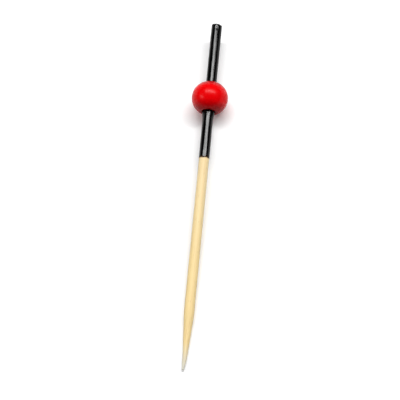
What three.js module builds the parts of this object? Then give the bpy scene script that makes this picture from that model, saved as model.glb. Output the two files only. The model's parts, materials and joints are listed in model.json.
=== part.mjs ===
// Bamboo cocktail pick, lying on a table on its bead and its point.
// A round bamboo stick is sharpened at one end and dipped in black lacquer at the other.
// A turned wooden bead, lacquered red, is threaded over the black end and glued there.
//
// Sizes are in millimetres. Each piece is turned about the pick's own axis, which runs in
// +Y from the point to the head, with y = 0 in the middle of the bead.

import * as THREE from 'three';

// Bamboo stick
const pickLength = 120; // from the point to the lacquered end
const stickDiameter = 3.4;
const pointLength = 20; // from the tip back to where the stick is full width
const noseRadius = 0.35; // the very tip is rubbed round
const stickChamfer = 0.25; // takes the splinters off the cut end

// Black lacquer on the stick
const blackDepth = 48; // how deep the stick is dipped
const blackThickness = 0.07;
const blackRimRadius = 0.32; // the film rounds over the cut end

// Bead
const beadDiameter = 12;
const beadSideRadius = 5.6; // less than half the diameter, so the bead is a little flat
const beadSetback = 26.5; // from the lacquered end to the middle of the bead
const lipRadius = 0.8; // the mouths of the bore are well rounded
const redThickness = 0.1;
const redReach = 0.6; // how far the red lacquer runs on into the bore past the lip

// Glue between the bead and the stick
const glueThickness = 0.12; // at the mouths of the bore
const dropThickness = 0.32; // the glue pushed out under the bead, where it leaves the mouth
const dropLength = 3.7;
const beadingThickness = 0.2; // the little glue that shows over the bead
const beadingLength = 0.7;
const featherThickness = 0.03; // how thin the glue runs out along the stick

// Bonded layers stand this far apart
const layerGap = 0.02;

// Facets
const sides = 40; // round the axis, with a flat and not a corner facing the table
const pointSteps = 8;
const noseSteps = 3;
const rimSteps = 3;
const beadSteps = 18;
const lipSteps = 6;
const dropSteps = 5;

// Radii, from the stick's middle outwards
const stickRadius = stickDiameter / 2;
const blackInside = stickRadius + layerGap;
const blackOutside = blackInside + blackThickness;
const glueInside = blackOutside + layerGap;
const glueMouth = glueInside + glueThickness;
const mouthRadius = glueMouth + layerGap;
const coreInset = redThickness + layerGap; // the wooden bead lies this far under the red
const coreBore = mouthRadius + coreInset;

// Places along the axis
const headEnd = beadSetback;
const tipEnd = headEnd - pickLength;
const blackEdge = headEnd - blackDepth;
const stickEnd = headEnd - blackThickness - layerGap;

// The point's outline is an arc that leaves the stick without a corner and runs into the nose.
const shoulder = tipEnd + pointLength;
const noseRun = pointLength - noseRadius;
const pointArcRadius =
  (stickRadius ** 2 - noseRadius ** 2 + noseRun ** 2) / (2 * (stickRadius - noseRadius));
const pointArcCentre = stickRadius - pointArcRadius;

// Each side of the bead's outline is an arc. A smaller arc, the lip, leads it into the bore.
const sideCentre = beadDiameter / 2 - beadSideRadius;
const lipCentre = mouthRadius + lipRadius;
const lipHeight = Math.sqrt((beadSideRadius - lipRadius) ** 2 - (lipCentre - sideCentre) ** 2);
const lipAngle = Math.atan2(lipHeight, lipCentre - sideCentre);
const redEnd = lipHeight - redReach;

const lacquerRed = new THREE.MeshStandardMaterial({ color: 0xdc0a0c, roughness: 0.22, metalness: 0 });
const lacquerBlack = new THREE.MeshStandardMaterial({ color: 0x0d0c0d, roughness: 0.28, metalness: 0 });
const bamboo = new THREE.MeshStandardMaterial({ color: 0xf4dca6, roughness: 0.6, metalness: 0 });
const beadWood = new THREE.MeshStandardMaterial({ color: 0xd9b98a, roughness: 0.7, metalness: 0 });
const glue = new THREE.MeshStandardMaterial({ color: 0x161213, roughness: 0.12, metalness: 0 });

function point(radius, height) {
  return new THREE.Vector2(radius, height);
}

// Points on an arc about (radius, height), from one angle to another. Angle 0 faces outwards.
function arc(radius, height, size, from, to, steps) {
  return new THREE.EllipseCurve(radius, height, size, size, from, to, to < from).getPoints(steps);
}

function upsideDown(outline) {
  return outline.map((p) => point(p.x, -p.y)).reverse();
}

function closed(outline) {
  return [...outline, outline[0].clone()];
}

// Turns an outline about the axis. A point that repeats the one before it is left out.
function turned(name, outline, material) {
  const samePlace = 1e-6;
  const steps = outline.filter((p, i) => i === 0 || p.distanceTo(outline[i - 1]) > samePlace);
  const mesh = new THREE.Mesh(new THREE.LatheGeometry(steps, sides, Math.PI / sides), material);
  mesh.name = name;
  return mesh;
}

function bambooStick() {
  const noseAngle = Math.atan2(-noseRun, -pointArcCentre);
  const nose = arc(0, tipEnd + noseRadius, noseRadius, -Math.PI / 2, noseAngle, noseSteps);
  const taper = arc(pointArcCentre, shoulder, pointArcRadius, noseAngle, 0, pointSteps);
  nose[0].x = 0;
  return turned('bamboo_stick', [
    ...nose,
    ...taper,
    point(stickRadius, stickEnd - stickChamfer),
    point(stickRadius - stickChamfer, stickEnd),
    point(0, stickEnd),
  ], bamboo);
}

// A film round the head of the stick, closed over its cut end.
function blackLacquer() {
  const rimCentre = blackOutside - blackRimRadius;
  const rim = arc(rimCentre, headEnd - blackRimRadius, blackRimRadius, 0, Math.PI / 2, rimSteps);
  return turned('black_lacquer', [
    point(0, stickEnd + layerGap),
    point(blackInside - stickChamfer, stickEnd + layerGap),
    point(blackInside, stickEnd + layerGap - stickChamfer),
    point(blackInside, blackEdge),
    point(blackInside + blackThickness / 2, blackEdge),
    point(blackOutside, blackEdge + blackThickness),
    ...rim,
    point(0, headEnd),
  ], lacquerBlack);
}

// The bead's outline from the lower mouth to the upper one, at a depth under the red surface.
function beadOutline(inset) {
  const lip = arc(lipCentre, lipHeight, lipRadius - inset, lipAngle, Math.PI, lipSteps);
  const side = arc(sideCentre, 0, beadSideRadius - inset, -lipAngle, lipAngle, beadSteps);
  return [...upsideDown(lip), ...side, ...lip];
}

function woodenBead() {
  return turned('wooden_bead', closed(beadOutline(coreInset)), beadWood);
}

// A film over the whole bead, which turns in at both mouths and ends inside the bore.
function redLacquer() {
  const underside = beadOutline(redThickness).reverse();
  return turned('red_lacquer', closed([
    point(mouthRadius, -redEnd),
    ...beadOutline(0),
    point(mouthRadius, redEnd),
    point(mouthRadius + redThickness, redEnd),
    ...underside,
    point(mouthRadius + redThickness, -redEnd),
  ]), lacquerRed);
}

// Glue outside the upper mouth: it follows the lip outwards, then runs out along the stick.
function gluePushedOut(thickness, length) {
  const reach = blackOutside + thickness;
  const lipGap = lipRadius + layerGap;
  const leaves = Math.PI - Math.acos((lipCentre - reach) / lipGap);
  const alongLip = arc(lipCentre, lipHeight, lipGap, Math.PI, leaves, lipSteps);
  const top = alongLip[alongLip.length - 1];
  const bulge = new THREE.QuadraticBezierCurve(
    top,
    point(reach, top.y + length / 2),
    point(glueInside + featherThickness, top.y + length),
  );
  return [...alongLip, ...bulge.getPoints(dropSteps), point(glueInside, top.y + length)];
}

// The glue fills the bore, from the drop under the bead to the thin bead of glue over it.
function glueLine() {
  const filledRadius = coreBore - layerGap;
  const filledEnd = redEnd - layerGap;
  return turned('glue_line', closed([
    ...upsideDown(gluePushedOut(dropThickness, dropLength)),
    point(glueMouth, -filledEnd),
    point(filledRadius, -filledEnd),
    point(filledRadius, filledEnd),
    point(glueMouth, filledEnd),
    ...gluePushedOut(beadingThickness, beadingLength),
  ]), glue);
}

// The table touches the bead's side arc and the point's arc, so the axis rises to the head.
function layOnTable(pick) {
  const across = sideCentre - pointArcCentre;
  const along = -shoulder;
  const larger = pointArcRadius - beadSideRadius;
  pick.rotation.x = Math.acos(larger / Math.hypot(across, along)) - Math.atan2(along, across);
  const box = new THREE.Box3().setFromObject(pick, true);
  pick.position.y = -(box.min.y + box.max.y) / 2;
  pick.position.z = -box.min.z;
}

const pick = new THREE.Group();
pick.add(bambooStick(), blackLacquer(), woodenBead(), redLacquer(), glueLine());
layOnTable(pick);

const group = new THREE.Group();
group.add(pick);

export default group;
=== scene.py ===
import json
import math

import bmesh
import bpy
from mathutils import Matrix, Vector, noise


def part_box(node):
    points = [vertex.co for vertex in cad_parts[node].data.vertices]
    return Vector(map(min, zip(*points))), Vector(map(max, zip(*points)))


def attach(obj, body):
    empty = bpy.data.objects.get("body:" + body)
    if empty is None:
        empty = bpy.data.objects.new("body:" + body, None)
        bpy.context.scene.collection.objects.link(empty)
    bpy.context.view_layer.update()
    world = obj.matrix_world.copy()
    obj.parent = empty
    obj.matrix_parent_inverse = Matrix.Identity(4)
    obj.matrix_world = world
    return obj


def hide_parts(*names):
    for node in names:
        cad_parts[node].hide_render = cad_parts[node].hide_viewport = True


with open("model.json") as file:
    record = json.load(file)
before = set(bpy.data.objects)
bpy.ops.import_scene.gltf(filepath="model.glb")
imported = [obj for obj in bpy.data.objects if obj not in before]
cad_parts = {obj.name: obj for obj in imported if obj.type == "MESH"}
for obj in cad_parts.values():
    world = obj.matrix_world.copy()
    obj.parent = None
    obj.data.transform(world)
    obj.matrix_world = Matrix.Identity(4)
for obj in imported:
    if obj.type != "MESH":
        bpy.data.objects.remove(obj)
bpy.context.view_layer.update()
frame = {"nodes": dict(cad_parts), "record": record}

# Bamboo cocktail pick. Each piece is turned about the pick's own axis: height 0 is the middle of
# the bead, the cut head is above it and the point is below it. Lengths are in metres.
mm = 0.001

# Where the axis lies
axis = Vector(frame["record"]["mounts"][0]["axis"])
upright = Vector((0, 0, 1))
bead_middle = sum(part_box("red_lacquer"), Vector()) / 2
pick_place = Matrix.Translation(bead_middle) @ upright.rotation_difference(axis).to_matrix().to_4x4()


def ends(node):
    """The lowest and the highest point of a CAD node along the axis."""
    heights = [(corner.co - bead_middle).dot(axis) for corner in frame["nodes"][node].data.vertices]
    return min(heights), max(heights)


def half_width(node):
    """Half the width of a CAD node across its flats."""
    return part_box(node)[1].x


# Sizes that the frame gives
tip, stick_top = ends("bamboo_stick")
dip_edge, head_end = ends("black_lacquer")
stick_radius = half_width("bamboo_stick")
black_radius = half_width("black_lacquer")
bead_radius = half_width("red_lacquer")
drop_radius = half_width("glue_line")

# Sizes that part.mjs gives
point_length = 20 * mm  # from the tip back to where the stick is full width
nose_radius = 0.35 * mm  # the very tip is rubbed round
chamfer = 0.25 * mm  # round the cut end of the bare stick
black_rim = 0.32 * mm  # the black film rounds over the cut end
side_centre = 0.4 * mm  # the bead's side is an arc about this radius, so the bead is a little flat
lip_radius = 0.8 * mm  # the mouths of the bore are well rounded
red_thickness = 0.1 * mm
red_reach = 0.6 * mm  # how far the red film runs on into the bore past the lip
glue_thickness = 0.12 * mm  # at the mouths of the bore
drop_length = 3.7 * mm  # the glue pushed out under the bead
beading_thickness = 0.2 * mm  # the little glue that shows over the bead
beading_length = 0.7 * mm
core_inset = 0.12 * mm  # the wooden bead lies this far under the red surface

# Bonded surfaces stand this far apart
bond = 0.006 * mm

# How fine the meshes are
ring_spacing = 0.8 * mm
stick_sides = 120
bead_sides = 144
glue_sides = 96

# Sizes that follow
shoulder = tip + point_length
film_inside = stick_radius + bond
glue_inside = black_radius + bond
glue_mouth = glue_inside + glue_thickness
mouth_radius = glue_mouth + bond
side_radius = bead_radius - side_centre
lip_centre = mouth_radius + lip_radius
lip_height = math.sqrt((side_radius - lip_radius) ** 2 - (lip_centre - side_centre) ** 2)
lip_angle = math.atan2(lip_height, lip_centre - side_centre)
red_end = lip_height - red_reach


# Outlines of (radius, height) points

def arc(centre, size, start, end, steps):
    """Points on an arc about a centre. Angle 0 faces outwards."""
    turns = [start + (end - start) * step / steps for step in range(steps + 1)]
    return [(centre[0] + size * math.cos(turn), centre[1] + size * math.sin(turn)) for turn in turns]


def straight(start, end, spacing):
    """Points at about this spacing along a straight line."""
    steps = math.ceil(math.dist(start, end) / spacing)
    return [tuple(Vector(start).lerp(Vector(end), step / steps)) for step in range(steps + 1)]


def upside_down(outline):
    return [(radius, -height) for radius, height in reversed(outline)]


def turned(outline, sides, closed=False):
    """A body whose outline is spun round the axis."""
    body = bmesh.new()
    corners = [body.verts.new((radius, 0, height)) for radius, height in outline]
    pairs = list(zip(corners, corners[1:]))
    if closed:
        pairs.append((corners[-1], corners[0]))
    edges = [body.edges.new(pair) for pair in pairs]
    bmesh.ops.spin(
        body,
        geom=corners + edges,
        axis=upright,
        angle=math.tau,
        steps=sides,
        use_merge=True,
    )
    bmesh.ops.remove_doubles(body, verts=body.verts, dist=bond / 10)
    bmesh.ops.recalc_face_normals(body, faces=body.faces)
    return body


# Unevenness

def rise(value, low, high):
    """0 below low and 1 above high, with a smooth rise between them."""
    share = min(1, max(0, (value - low) / (high - low)))
    return share * share * (3 - 2 * share)


def noise_share(sample):
    """Smooth noise from 0 to 1."""
    return 0.5 + 0.5 * noise.noise(sample)


def lumps(corner, across, along, seed):
    """Smooth noise from 0 to 1, the same for every layer over one place on the stick."""
    place = corner.co.xy.normalized() * stick_radius
    return noise_share(Vector((place.x / across + seed, place.y / across, corner.co.z / along)))


def press_in(corner, depth):
    """Moves a corner towards the axis, where it lies further out than that."""
    radius = corner.co.xy.length
    if radius > depth:
        corner.co.xy *= 1 - depth / radius


def planing(corner):
    """How deep the plane went here. The lacquer and the glue over the stick follow it."""
    deepest = 0.07 * mm
    waves = lumps(corner, across=1.1 * mm, along=7 * mm, seed=3)
    return deepest * waves * rise(corner.co.z, tip, shoulder)


def grind_slim(corner):
    """The point is ground straighter than an arc, and its underside still lies on the table."""
    deepest = 0.22 * mm
    slim = deepest * rise(corner.co.z, tip + 1 * mm, tip + 9 * mm)
    slim *= 1 - rise(corner.co.z, tip + 13 * mm, shoulder)
    press_in(corner, slim)
    corner.co.y += slim


def lean_tip(corner):
    """The last fibres of the point lean to one side and are a little flat."""
    reach = 6 * mm
    lean = 0.22 * mm
    flattening = 0.3
    share = 1 - rise(corner.co.z, tip, tip + reach)
    corner.co.x -= lean * share ** 2
    corner.co.y *= 1 - flattening * share ** 2


def cut_askew(corner):
    """The saw cut at the head leans a little, so one side of it is lower."""
    reach = 2 * mm
    lean = 0.1 * mm
    lowered = lean * (1 + corner.co.x / black_radius)
    corner.co.z -= lowered * rise(corner.co.z, head_end - reach, head_end - black_rim)


def piece(name, body, material, node):
    """Puts a finished body on the pick in place of its CAD node."""
    crease = math.radians(35)
    for face in body.faces:
        face.smooth = True
    for edge in body.edges:
        edge.smooth = edge.calc_face_angle(0) < crease
    body.transform(pick_place)
    mesh = bpy.data.meshes.new(name)
    body.to_mesh(mesh)
    body.free()
    mesh.materials.append(material)
    made = bpy.data.objects.new(name, mesh)
    bpy.context.scene.collection.objects.link(made)
    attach(made, "root")
    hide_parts(node)


# Pieces

def bamboo_stick():
    """A round rod with fine grooves between its fibres, ground to a slim point."""
    run = point_length - nose_radius
    taper_radius = (stick_radius ** 2 - nose_radius ** 2 + run ** 2) / (2 * (stick_radius - nose_radius))
    taper_centre = stick_radius - taper_radius
    nose_angle = math.atan2(-run, -taper_centre)
    nose = arc((0, tip + nose_radius), nose_radius, -math.pi / 2, nose_angle, steps=8)
    body = turned([
        (0, tip),
        *nose[1:],
        *arc((taper_centre, shoulder), taper_radius, nose_angle, 0, steps=28),
        *straight((stick_radius, shoulder), (stick_radius, stick_top - chamfer), ring_spacing),
        (stick_radius - chamfer, stick_top),
        (0, stick_top),
    ], stick_sides)
    groove_depth = 0.014 * mm
    grinding_depth = 0.09 * mm
    for corner in body.verts:
        past_tip = rise(corner.co.z, tip + 2 * mm, tip + 8 * mm)
        grooves = groove_depth * lumps(corner, across=0.22 * mm, along=12 * mm, seed=11)
        grinding = grinding_depth * lumps(corner, across=1.6 * mm, along=5 * mm, seed=23)
        grinding *= 1 - rise(corner.co.z, tip, shoulder)
        press_in(corner, planing(corner) + (grooves + grinding) * past_tip)
        grind_slim(corner)
        lean_tip(corner)
        cut_askew(corner)
    return body


def black_lacquer():
    """A thick dipped film. It sags a little, rounds over the cut end and thins out at its edge."""
    thickness = black_radius - film_inside
    feather = 0.3 * mm
    edge_steps = 6
    edge = [
        (film_inside + thickness * math.sin(turn), dip_edge + feather * (1 - math.cos(turn)))
        for turn in (math.pi / 2 * step / edge_steps for step in range(edge_steps + 1))
    ]
    rim_centre = (black_radius - black_rim, head_end - black_rim)
    inner_top = stick_top + bond
    body = turned([
        (0, inner_top),
        (film_inside - chamfer, inner_top),
        *straight((film_inside, inner_top - chamfer), (film_inside, dip_edge), ring_spacing),
        *edge[1:],
        *straight(edge[-1], (black_radius, head_end - black_rim), ring_spacing / 2)[1:],
        *arc(rim_centre, black_rim, 0, math.pi / 2, steps=10)[1:],
        *straight((rim_centre[0], head_end), (0, head_end), ring_spacing / 4)[1:],
    ], stick_sides)
    # A burst bubble left a pit near the cut end.
    pit = Vector((0.25 * black_radius, -0.97 * black_radius, head_end - 1.6 * mm))
    pit_radius = 0.4 * mm
    pit_depth = 0.07 * mm
    sag_depth = 0.025 * mm
    head_sag_depth = 0.04 * mm
    dish_depth = 0.03 * mm
    wave_height = 0.2 * mm
    for corner in body.verts:
        depth = planing(corner)
        if corner.co.xy.length > film_inside + thickness / 2:
            near_head = rise(corner.co.z, head_end - 5 * mm, head_end - 1 * mm)
            sag = sag_depth + head_sag_depth * near_head
            depth += sag * lumps(corner, across=1.1 * mm, along=4 * mm, seed=37)
            depth += pit_depth * math.exp(-((corner.co - pit) / pit_radius).length_squared)
        press_in(corner, depth)
        # The film dried a little hollow over the cut end.
        if corner.co.z > head_end - bond:
            outwards = corner.co.xy.length / black_radius
            corner.co.z -= dish_depth * (1 - outwards ** 2)
        cut_askew(corner)
        # The lower edge climbs and falls round the stick.
        wave = wave_height * (2 * lumps(corner, across=1.2 * mm, along=1, seed=51) - 1)
        corner.co.z += wave * (1 - rise(corner.co.z, dip_edge, dip_edge + 2 * mm))
    return body


def bead_outline(inset):
    """From the lower mouth of the bore over the side to the upper mouth."""
    lip = arc((lip_centre, lip_height), lip_radius - inset, lip_angle, math.pi, steps=10)
    side = arc((side_centre, 0), side_radius - inset, -lip_angle, lip_angle, steps=72)
    return [*upside_down(lip), *side[1:-1], *lip]


def red_lacquer():
    """A film over the bead that turns in at both mouths of the bore."""
    body = turned([
        (mouth_radius, -red_end),
        *bead_outline(0),
        (mouth_radius, red_end),
        (mouth_radius + red_thickness, red_end),
        *reversed(bead_outline(red_thickness)),
        (mouth_radius + red_thickness, -red_end),
    ], bead_sides, closed=True)
    unevenness = 0.05 * mm
    lump_size = 3.2 * mm
    seed = Vector((5, 0, 0))
    for corner in body.verts:
        from_surface = math.hypot(corner.co.xy.length - side_centre, corner.co.z) - side_radius
        if from_surface > -red_thickness / 2:
            # The side is uneven and the lips round the bore are smooth.
            on_side = 1 - rise(abs(corner.co.z), 3.6 * mm, 4.8 * mm)
            press_in(corner, unevenness * noise_share(corner.co / lump_size + seed) * on_side)
    return body


def glue_outside(thickness, length, steps):
    """Glue outside the upper mouth: it leaves the lip and runs out along the stick."""
    reach = black_radius + thickness
    lip_gap = lip_radius + bond
    leaves = math.pi - math.acos((lip_centre - reach) / lip_gap)
    lip = arc((lip_centre, lip_height), lip_gap, math.pi, leaves, steps=8)
    top = lip[-1][1]
    run_out = [
        (glue_inside + (reach - glue_inside) * (1 - rise(share, 0, 1)), top + length * share)
        for share in (step / steps for step in range(1, steps + 1))
    ]
    return [*lip, *run_out]


def glue_line():
    """Set glue: it fills the bore and stands out as a drop, most of it on the pick's underside."""
    filled = mouth_radius + core_inset - 2 * bond
    thickness = drop_radius - black_radius
    inside_top = (glue_inside, lip_height + beading_length)
    inside_foot = (glue_inside, -lip_height - drop_length)
    body = turned([
        *upside_down(glue_outside(thickness, drop_length, steps=14)),
        (glue_mouth, -red_end + bond),
        (filled, -red_end + bond),
        (filled, red_end - bond),
        (glue_mouth, red_end - bond),
        *glue_outside(beading_thickness, beading_length, steps=5),
        *straight(inside_top, inside_foot, ring_spacing),
    ], glue_sides, closed=True)
    # On top the glue ran down before it set, so there the drop is shorter and thin.
    drop_starts = -lip_height - 0.2 * mm
    length_on_top = 0.55
    lost_on_top = 0.9
    for corner in body.verts:
        radius = corner.co.xy.length
        heavy = rise(corner.co.y / radius, -0.85, -0.3)
        if corner.co.z < drop_starts:
            length = length_on_top + (1 - length_on_top) * heavy
            corner.co.z = drop_starts + (corner.co.z - drop_starts) * length
            press_in(corner, (radius - glue_inside) * lost_on_top * (1 - heavy))
        press_in(corner, planing(corner))
    return body


# Materials

def linear(code):
    """An sRGB hex colour as the linear colour that a shader takes."""
    shares = [int(code[place:place + 2], 16) / 255 for place in (1, 3, 5)]
    return [s / 12.92 if s <= 0.04045 else ((s + 0.055) / 1.055) ** 2.4 for s in shares] + [1]


def add(tree, kind, inputs, output=None, **settings):
    """Adds a node, sets or links its inputs and gives back the named output, or the first in use."""
    node = tree.nodes.new(kind)
    for name, value in settings.items():
        setattr(node, name, value)
    for name, value in inputs.items():
        socket = next(
            socket for socket in node.inputs
            if socket.enabled and name in (socket.name, socket.identifier)
        )
        if isinstance(value, bpy.types.NodeSocket):
            tree.links.new(value, socket)
        else:
            socket.default_value = value
    if output:
        return node.outputs[output]
    return next((socket for socket in node.outputs if socket.enabled), None)


def new_material(name):
    """A material without nodes, and its node tree."""
    material = bpy.data.materials.new(name)
    material.use_nodes = True
    material.node_tree.nodes.clear()
    return material, material.node_tree


def on_pick(tree):
    """The place on the pick, with the axis as Z."""
    place = pick_place.inverted()
    return add(tree, "ShaderNodeMapping", {
        "Vector": add(tree, "ShaderNodeTexCoord", {}, "Object"),
        "Location": place.to_translation(),
        "Rotation": place.to_euler(),
    })


def grain(tree, spot, across, along, detail=2):
    """Noise from 0 to 1 whose lumps are this wide and this long."""
    stretched = add(tree, "ShaderNodeMapping", {
        "Vector": spot,
        "Scale": (1 / across, 1 / across, 1 / along),
    })
    return add(tree, "ShaderNodeTexNoise", {"Vector": stretched, "Scale": 1, "Detail": detail})


def planed_bamboo():
    """Bare planed bamboo: pale straw in long bands, with fine darker fibres and a greyed tip."""
    material, tree = new_material("planed_bamboo")
    spot = on_pick(tree)
    height = add(tree, "ShaderNodeSeparateXYZ", {"Vector": spot}, "Z")
    bleached_bands = add(tree, "ShaderNodeMapRange", {
        "Value": grain(tree, spot, across=1.1 * mm, along=45 * mm),
        "From Min": 0.35,
        "From Max": 0.65,
    })
    # The colour is warmer towards the point.
    warmth = add(tree, "ShaderNodeMapRange", {
        "Value": height,
        "From Min": dip_edge - 36 * mm,
        "From Max": dip_edge - 6 * mm,
        "To Min": 0.75,
        "To Max": 0,
    })
    # The fibres are drawn 0.3 mm wide, about twice as coarse as they are, so that they show.
    fibres = grain(tree, spot, across=0.3 * mm, along=16 * mm, detail=4)
    dark_fibres = add(tree, "ShaderNodeMapRange", {
        "Value": fibres,
        "From Min": 0.54,
        "From Max": 0.7,
        "To Max": 0.55,
    })
    pores = add(tree, "ShaderNodeMapRange", {
        "Value": grain(tree, spot, across=0.16 * mm, along=2.4 * mm, detail=1),
        "From Min": 0.7,
        "From Max": 0.76,
        "To Max": 0.5,
    })
    # Lacquer wicks down between the fibres below the dipped edge.
    wicked = add(tree, "ShaderNodeMapRange", {
        "Value": height,
        "From Min": dip_edge - 0.5 * mm,
        "From Max": dip_edge + 0.1 * mm,
        "To Max": 0.5,
    })
    # Handling has greyed the tip.
    greyed = add(tree, "ShaderNodeMapRange", {
        "Value": height,
        "From Min": tip + 1 * mm,
        "From Max": tip + 9 * mm,
        "To Min": 1,
        "To Max": 0,
    })
    tints = [
        (bleached_bands, "#FFECBA"),
        (warmth, "#FBDD98"),
        (dark_fibres, "#E6C48A"),
        (pores, "#A87C45"),
        (wicked, "#9A7648"),
        (greyed, "#E2DECC"),
    ]
    colour = linear("#FADFA8")
    for strength, tint in tints:
        colour = add(tree, "ShaderNodeMix", {
            "Factor": strength,
            "A": colour,
            "B": linear(tint),
        }, data_type="RGBA")
    relief = add(tree, "ShaderNodeBump", {"Height": fibres, "Distance": 0.02 * mm, "Strength": 1})
    shader = add(tree, "ShaderNodeBsdfPrincipled", {
        "Base Color": colour,
        "Roughness": 0.58,
        "Normal": relief,
    })
    add(tree, "ShaderNodeOutputMaterial", {"Surface": shader})
    return material


def dipped_black_lacquer():
    """Black lacquer dried from a dip: glossy, a little uneven, and brown where it thins out."""
    material, tree = new_material("dipped_black_lacquer")
    spot = on_pick(tree)
    height = add(tree, "ShaderNodeSeparateXYZ", {"Vector": spot}, "Z")
    thin = add(tree, "ShaderNodeMapRange", {
        "Value": height,
        "From Min": dip_edge,
        "From Max": dip_edge + 0.7 * mm,
        "To Min": 0.75,
        "To Max": 0,
    })
    colour = add(tree, "ShaderNodeMix", {
        "Factor": thin,
        "A": linear("#040404"),
        "B": linear("#4A3018"),
    }, data_type="RGBA")
    patches = add(tree, "ShaderNodeMapRange", {
        "Value": grain(tree, spot, across=0.9 * mm, along=3 * mm, detail=3),
        "From Min": 0.3,
        "From Max": 0.7,
        "To Min": 0.13,
        "To Max": 0.19,
    })
    relief = add(tree, "ShaderNodeBump", {
        "Height": grain(tree, spot, across=0.6 * mm, along=5 * mm),
        "Distance": 0.02 * mm,
        "Strength": 1,
    })
    # The index of lacquer is about 1.5. A lower one makes its reflections as faint as they look.
    shader = add(tree, "ShaderNodeBsdfPrincipled", {
        "Base Color": colour,
        "Roughness": patches,
        "IOR": 1.29,
        "Normal": relief,
    })
    add(tree, "ShaderNodeOutputMaterial", {"Surface": shader})
    return material


def red_bead_lacquer():
    """Bright red lacquer tumbled on to a wooden bead: satin and uneven, with painted shade that darkens
    the red round the bore.
    """
    material, tree = new_material("red_bead_lacquer")
    spot = on_pick(tree)
    brushed = add(tree, "ShaderNodeMix", {
        "Factor": grain(tree, spot, across=2.2 * mm, along=2.8 * mm, detail=3),
        "A": linear("#E20006"),
        "B": linear("#FC0208"),
    }, data_type="RGBA")
    # Painted shade: the red is darker round both mouths of the bore.
    height = add(tree, "ShaderNodeSeparateXYZ", {"Vector": spot}, "Z")
    painted_shade_at_mouths = add(tree, "ShaderNodeMapRange", {
        "Value": add(tree, "ShaderNodeMath", {"Value": height}, operation="ABSOLUTE"),
        "From Min": 2.4 * mm,
        "From Max": 4.2 * mm,
    })
    colour = add(tree, "ShaderNodeMix", {
        "Factor": painted_shade_at_mouths,
        "A": brushed,
        "B": linear("#B80006"),
    }, data_type="RGBA")
    patches = add(tree, "ShaderNodeMapRange", {
        "Value": grain(tree, spot, across=1.2 * mm, along=1.2 * mm, detail=3),
        "From Min": 0.3,
        "From Max": 0.7,
        "To Min": 0.23,
        "To Max": 0.33,
    })
    relief = add(tree, "ShaderNodeBump", {
        "Height": grain(tree, spot, across=0.6 * mm, along=2.5 * mm, detail=4),
        "Distance": 0.02 * mm,
        "Strength": 1,
    })
    # The bead looks duller still than the stick, so its index is lowered further.
    shader = add(tree, "ShaderNodeBsdfPrincipled", {
        "Base Color": colour,
        "Roughness": patches,
        "IOR": 1.23,
        "Normal": relief,
    })
    add(tree, "ShaderNodeOutputMaterial", {"Surface": shader})
    return material


def set_glue():
    """Glue that set black and shiny, with small ripples from where it ran."""
    material, tree = new_material("set_glue")
    spot = on_pick(tree)
    ripples = grain(tree, spot, across=0.8 * mm, along=0.8 * mm, detail=1)
    colour = add(tree, "ShaderNodeMix", {
        "Factor": ripples,
        "A": linear("#040303"),
        "B": linear("#0C0809"),
    }, data_type="RGBA")
    relief = add(tree, "ShaderNodeBump", {"Height": ripples, "Distance": 0.02 * mm, "Strength": 1})
    shader = add(tree, "ShaderNodeBsdfPrincipled", {
        "Base Color": colour,
        "Roughness": 0.2,
        "IOR": 1.34,
        "Normal": relief,
    })
    add(tree, "ShaderNodeOutputMaterial", {"Surface": shader})
    return material


def turned_beech():
    """Bare turned beech inside the bead: pale pinkish brown, with growth rings and short flecks."""
    material, tree = new_material("turned_beech")
    spot = on_pick(tree)
    rings = add(tree, "ShaderNodeTexWave", {
        "Vector": spot,
        "Scale": 0.16 / mm,
        "Distortion": 3,
        "Detail": 2,
    }, bands_direction="X")
    ringed = add(tree, "ShaderNodeMix", {
        "Factor": rings,
        "A": linear("#CFA878"),
        "B": linear("#DEC096"),
    }, data_type="RGBA")
    flecks = add(tree, "ShaderNodeMapRange", {
        "Value": grain(tree, spot, across=0.15 * mm, along=1.2 * mm),
        "From Min": 0.58,
        "From Max": 0.7,
        "To Max": 0.6,
    })
    colour = add(tree, "ShaderNodeMix", {
        "Factor": flecks,
        "A": ringed,
        "B": linear("#A87848"),
    }, data_type="RGBA")
    shader = add(tree, "ShaderNodeBsdfPrincipled", {"Base Color": colour, "Roughness": 0.7})
    add(tree, "ShaderNodeOutputMaterial", {"Surface": shader})
    return material


def white_card():
    """Smooth card, very slightly cloudy. It glows to the eye, so it is white with faint shadows."""
    material, tree = new_material("white_card")
    # 1 for what the camera sees, straight or in a reflection, and 0 for what lights the pick.
    seen = 0
    for ray in ("Is Camera Ray", "Is Glossy Ray", "Is Transmission Ray"):
        seen = add(tree, "ShaderNodeMath", {
            "Value": seen,
            "Value_001": add(tree, "ShaderNodeLightPath", {}, ray),
        }, operation="ADD")
    glow = add(tree, "ShaderNodeMapRange", {"Value": seen, "To Max": 0.15})
    clouds = add(tree, "ShaderNodeMix", {
        "Factor": add(tree, "ShaderNodeTexNoise", {
            "Vector": add(tree, "ShaderNodeTexCoord", {}, "Object"),
            "Scale": 0.02 / mm,
        }),
        "A": linear("#F8F8F8"),
        "B": linear("#FCFCFC"),
    }, data_type="RGBA")
    # What it throws back on to the pick is dimmer than what it shows.
    colour = add(tree, "ShaderNodeMix", {
        "Factor": seen,
        "A": linear("#CACACA"),
        "B": clouds,
    }, data_type="RGBA")
    shader = add(tree, "ShaderNodeBsdfPrincipled", {
        "Base Color": colour,
        "Roughness": 0.9,
        "Specular IOR Level": 0,
        "Emission Color": linear("#FFFFFF"),
        "Emission Strength": glow,
    })
    add(tree, "ShaderNodeOutputMaterial", {"Surface": shader})
    return material


# Stage, light and camera

def white_floor():
    """A wide card that the pick lies on."""
    body = bmesh.new()
    bmesh.ops.create_circle(body, cap_ends=True, radius=4, segments=64)
    mesh = bpy.data.meshes.new("white_floor")
    body.to_mesh(mesh)
    body.free()
    mesh.materials.append(white_card())
    floor = bpy.data.objects.new("white_floor", mesh)
    bpy.context.scene.collection.objects.link(floor)


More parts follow.
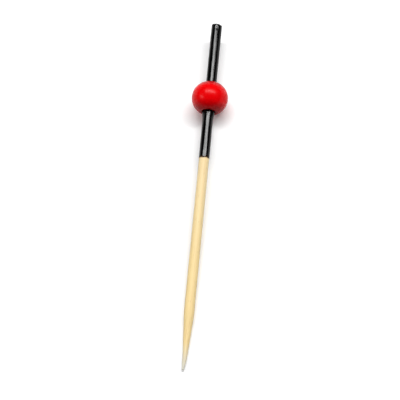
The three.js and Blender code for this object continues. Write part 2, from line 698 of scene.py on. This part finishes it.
def softbox(name, direction, width, depth, irradiance):
    """A lamp that fills this width and depth, in degrees, and lights what faces it this strongly."""
    distance = 2.5
    away = Vector(direction).normalized()
    up = away.cross(Vector((1, 0, 0))).normalized()
    lamp = bpy.data.lights.new(name, "AREA")
    lamp.shape = "RECTANGLE"
    lamp.size = 2 * distance * math.tan(math.radians(width / 2))
    lamp.size_y = 2 * distance * math.tan(math.radians(depth / 2))
    lamp.energy = irradiance * math.pi * distance ** 2
    light = bpy.data.objects.new(name, lamp)
    light.matrix_world = (
        Matrix.Translation(away * distance)
        @ Matrix((up.cross(away), up, away)).transposed().to_4x4()
    )
    bpy.context.scene.collection.objects.link(light)


def studio():
    """A studio whose white sweep ends low down, with dark walls over it."""
    world = bpy.data.worlds.new("studio")
    world.use_nodes = True
    tree = world.node_tree
    tree.nodes.clear()
    direction = add(tree, "ShaderNodeTexCoord", {}, "Generated")
    up = add(tree, "ShaderNodeSeparateXYZ", {"Vector": direction}, "Z")
    sweep = add(tree, "ShaderNodeMapRange", {
        "Value": up,
        "From Min": math.sin(math.radians(5)),
        "From Max": math.sin(math.radians(8)),
        "To Min": 0.97,
        "To Max": 0.02,
    })
    background = add(tree, "ShaderNodeBackground", {"Color": linear("#FFFFFF"), "Strength": sweep})
    add(tree, "ShaderNodeOutputWorld", {"Surface": background})
    bpy.context.scene.world = world


def camera():
    """Looks down the pick from in front and a little to the right, as the photograph does."""
    azimuth = math.radians(20)
    elevation = math.radians(63.9)
    roll = math.radians(-15.96)
    distance = 806 * mm
    # It aims just past the pick's middle, towards the point.
    aim = bead_middle + axis * (0.48 * head_end + 0.52 * tip)
    turn = (
        Matrix.Rotation(azimuth, 4, "Z")
        @ Matrix.Rotation(math.pi / 2 - elevation, 4, "X")
        @ Matrix.Rotation(roll, 4, "Z")
    )
    lens = bpy.data.cameras.new("camera")
    lens.lens = 225
    lens.clip_start = 0.01
    made = bpy.data.objects.new("camera", lens)
    made.matrix_world = Matrix.Translation(aim) @ turn @ Matrix.Translation((0, 0, distance))
    bpy.context.scene.collection.objects.link(made)
    bpy.context.scene.camera = made


camera()
white_floor()
studio()
softbox("back_softbox", direction=(0.16, 0.36, 0.92), width=56, depth=6, irradiance=3.6)
softbox("left_softbox", direction=(-0.71, -0.2, 0.68), width=12, depth=14, irradiance=0.55)
bpy.context.scene.view_settings.view_transform = "Standard"

piece("bamboo_rod", bamboo_stick(), planed_bamboo(), node="bamboo_stick")
piece("black_film", black_lacquer(), dipped_black_lacquer(), node="black_lacquer")
piece("red_film", red_lacquer(), red_bead_lacquer(), node="red_lacquer")
piece("glue_drop", glue_line(), set_glue(), node="glue_line")

# The wooden bead is all under its lacquer and its glue, so its CAD solid stays and is only stained.
core = frame["nodes"]["wooden_bead"]
core.data.materials.clear()
core.data.materials.append(turned_beech())
